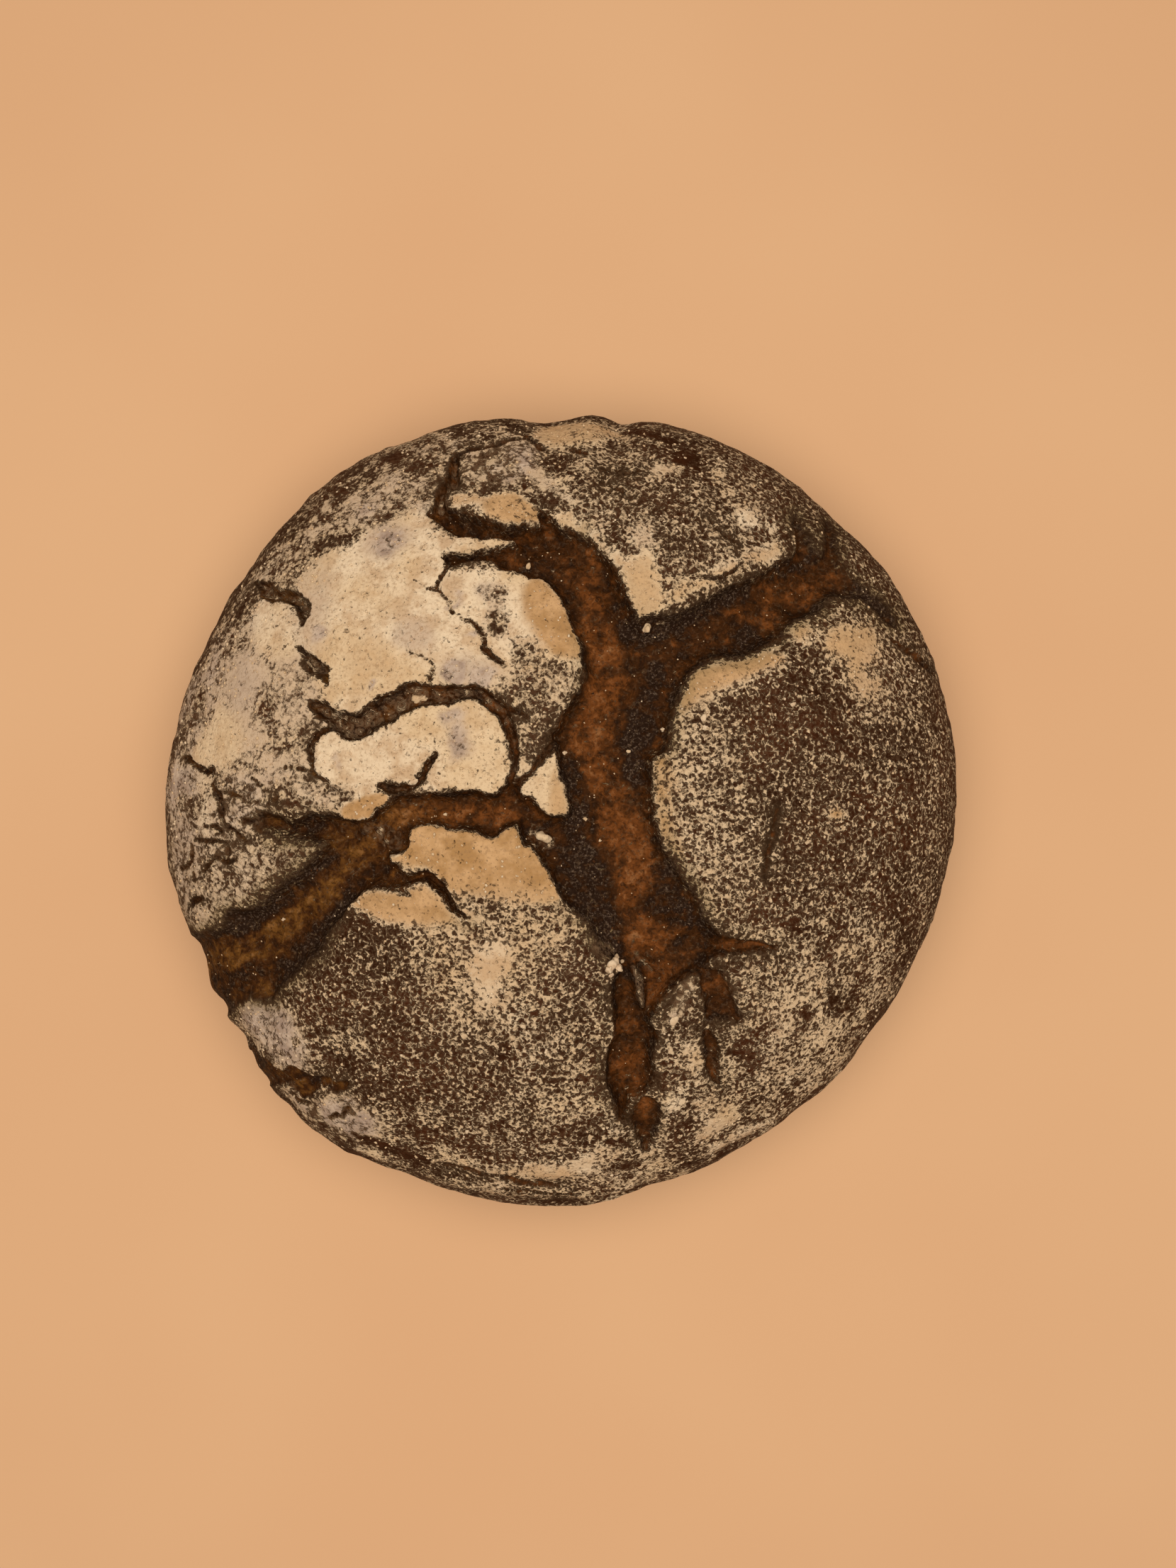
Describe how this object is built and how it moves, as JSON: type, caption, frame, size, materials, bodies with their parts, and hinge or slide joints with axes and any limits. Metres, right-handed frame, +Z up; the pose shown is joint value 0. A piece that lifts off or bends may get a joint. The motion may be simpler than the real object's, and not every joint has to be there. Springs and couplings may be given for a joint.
{
  "type": "round rye bread loaf",
  "caption": "Round uncut rye loaf with a flour-dusted crust that tore open in a wide forked crack, flat underneath.",
  "frame": {"origin": "centre of the flat underside, where the loaf rests", "axes": "+Z up through the dome, +X to the right and +Y away when looking down with the wide tear's trunk right of the middle"},
  "size_m": [0.2308, 0.2295, 0.0738],
  "materials": {
    "floured_crust": "matte",
    "rye_flour": "matte"
  },
  "bodies": {
    "root": {"loaf": "floured_crust"}
  },
  "joints": []
}
